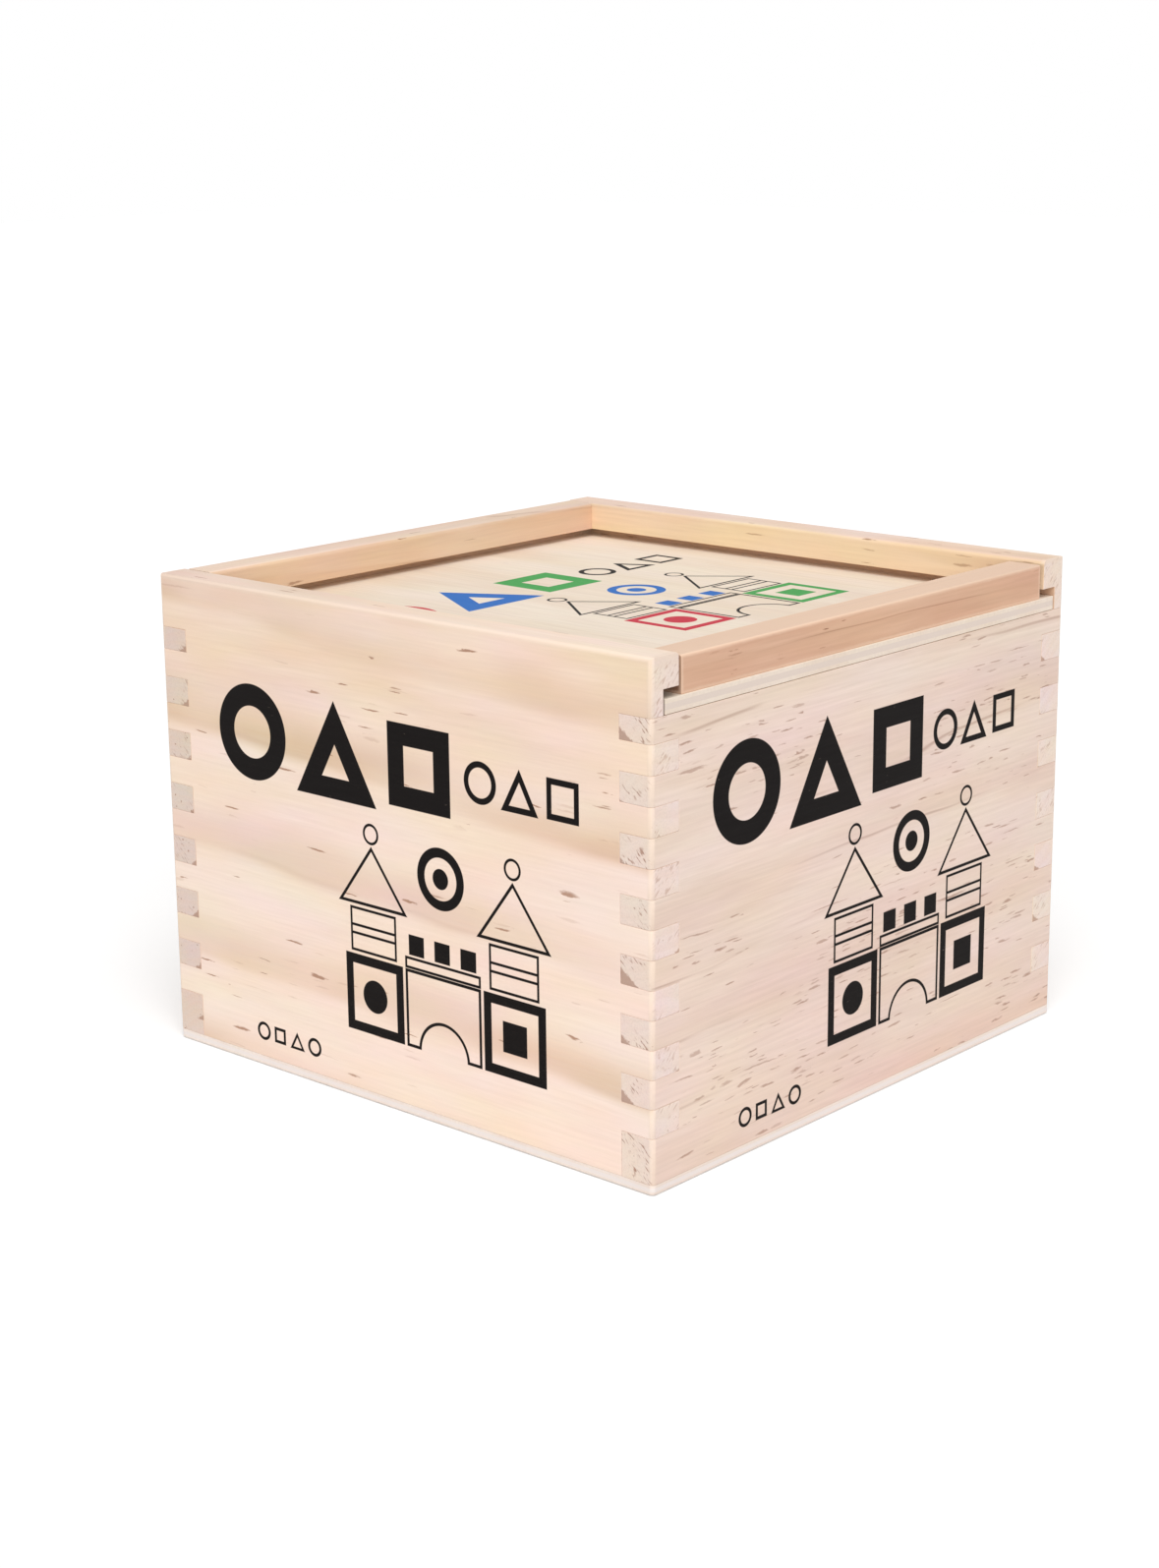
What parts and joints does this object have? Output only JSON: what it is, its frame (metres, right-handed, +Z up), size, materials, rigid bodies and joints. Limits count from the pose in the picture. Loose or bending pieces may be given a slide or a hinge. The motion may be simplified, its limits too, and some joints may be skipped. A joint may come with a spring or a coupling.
{
  "type": "boxed alphabet block set",
  "caption": "Square finger-jointed wooden box with a lid that slides out to the front, packed with layers of alphabet cubes.",
  "frame": {"origin": "middle of the underside of the bottom panel, which is the bottom centre of the bounding box", "axes": "+Z up; the front wall faces -Y and the lid slides out that way; +X is to the right seen from the front"},
  "size_m": [0.14, 0.14, 0.106],
  "materials": {
    "box_pine": "bare sanded pine with brown flecks, printed in black",
    "bottom_ply": "bare thin plywood",
    "lid_ply": "bare fine plywood, printed in red, blue, green and black",
    "rail_pine": "bare sanded pine, darker than the walls",
    "block_red": "smooth bare wood, red paint in the routed frames and letters",
    "block_blue": "smooth bare wood, blue paint in the routed frames and letters",
    "block_green": "smooth bare wood, green paint in the routed frames and letters"
  },
  "bodies": {
    "box": {"left_wall": "box_pine", "right_wall": "box_pine", "front_wall": "box_pine", "back_wall": "box_pine", "bottom_panel": "bottom_ply", "block_01": "block_red", "block_02": "block_blue", "block_03": "block_green", "block_04": "block_red", "block_05": "block_blue", "block_06": "block_green", "block_07": "block_red", "block_08": "block_blue", "block_09": "block_green", "block_10": "block_red", "block_11": "block_blue", "block_12": "block_green", "block_13": "block_red", "block_14": "block_blue", "block_15": "block_green", "block_16": "block_red", "block_17": "block_blue", "block_18": "block_green", "block_19": "block_red", "block_20": "block_blue", "block_21": "block_green", "block_22": "block_red", "block_23": "block_blue", "block_24": "block_green", "block_25": "block_red", "block_26": "block_blue", "block_27": "block_green", "block_28": "block_red", "block_29": "block_blue", "block_30": "block_green", "block_31": "block_red", "block_32": "block_blue", "block_33": "block_green", "block_34": "block_red", "block_35": "block_blue", "block_36": "block_green", "block_37": "block_red", "block_38": "block_blue", "block_39": "block_green", "block_40": "block_red", "block_41": "block_blue", "block_42": "block_green", "block_43": "block_red", "block_44": "block_blue", "block_45": "block_green", "block_46": "block_red", "block_47": "block_blue", "block_48": "block_green"},
    "lid": {"lid_panel": "lid_ply", "lid_rail": "rail_pine"}
  },
  "joints": [
    {"name": "lid_slide", "type": "slide", "parent": "box", "child": "lid", "axis": [0, -1, 0], "range_m": [0, 0.13]}
  ]
}
